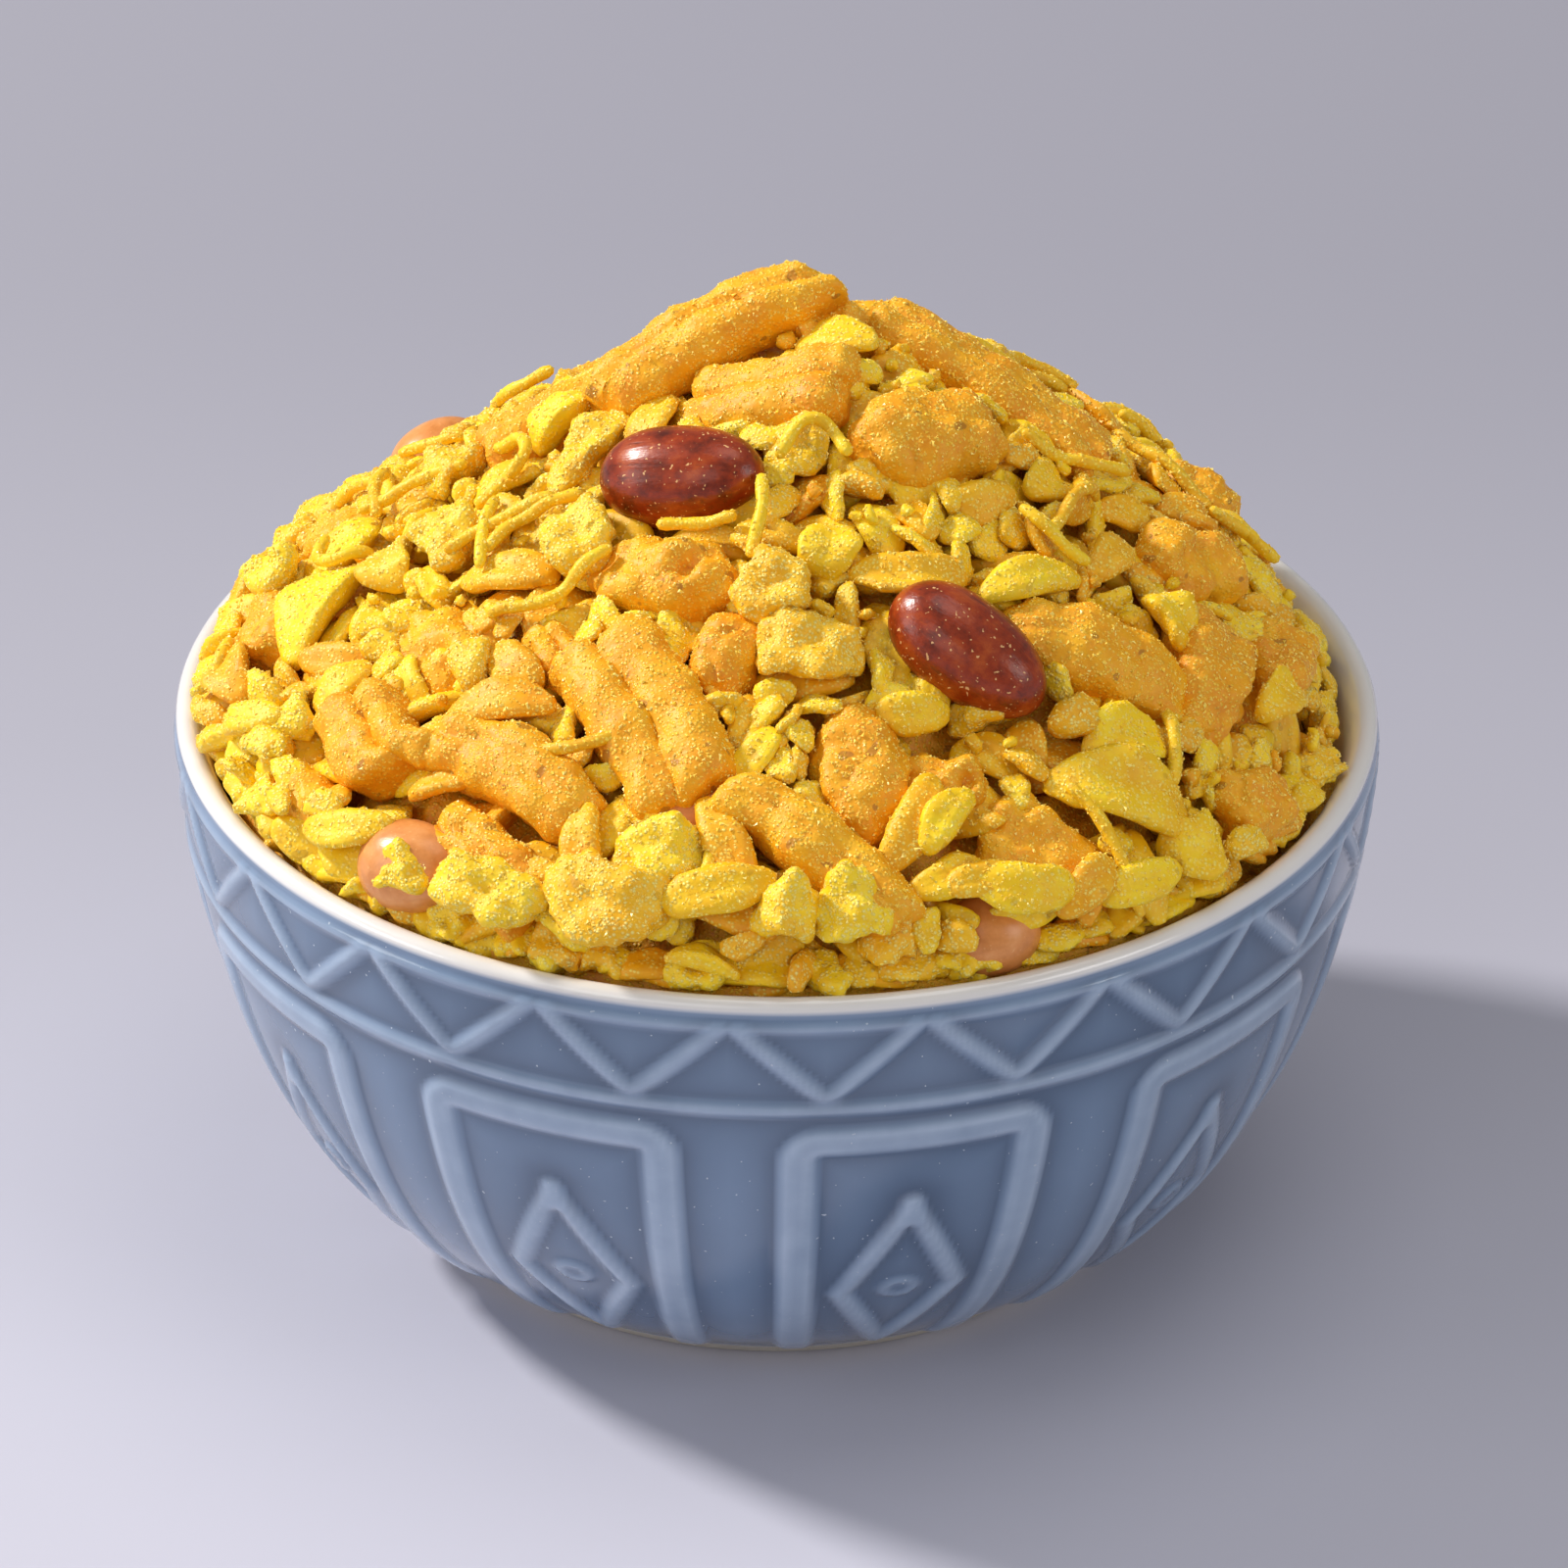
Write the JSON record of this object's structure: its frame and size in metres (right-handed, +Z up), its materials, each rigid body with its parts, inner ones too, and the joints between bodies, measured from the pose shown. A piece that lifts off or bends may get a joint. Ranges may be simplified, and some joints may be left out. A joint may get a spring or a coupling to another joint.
{
  "type": "bowl of party mix",
  "caption": "Small round glazed bowl with an embossed outside, heaped with a savoury mix of crisp strips, flattened rice, fine noodles and peanuts.",
  "frame": {"origin": "centre of the bowl's foot, on the plane it rests on", "axes": "+Z up along the bowl's axis; -Y toward the viewer of the picture; +X to the viewer's right"},
  "size_m": [0.1152, 0.1152, 0.0945],
  "materials": {
    "glaze": "gloss stoneware glaze, grey-blue outside, off-white lip and inside",
    "mix": "matt fried snack with a crystalline dusting",
    "peanut_skin": "satin red-brown peanut skin"
  },
  "bodies": {
    "root": {"bowl": "glaze", "mix_heap": "mix", "peanut_left": "peanut_skin", "peanut_right": "peanut_skin"}
  },
  "joints": []
}
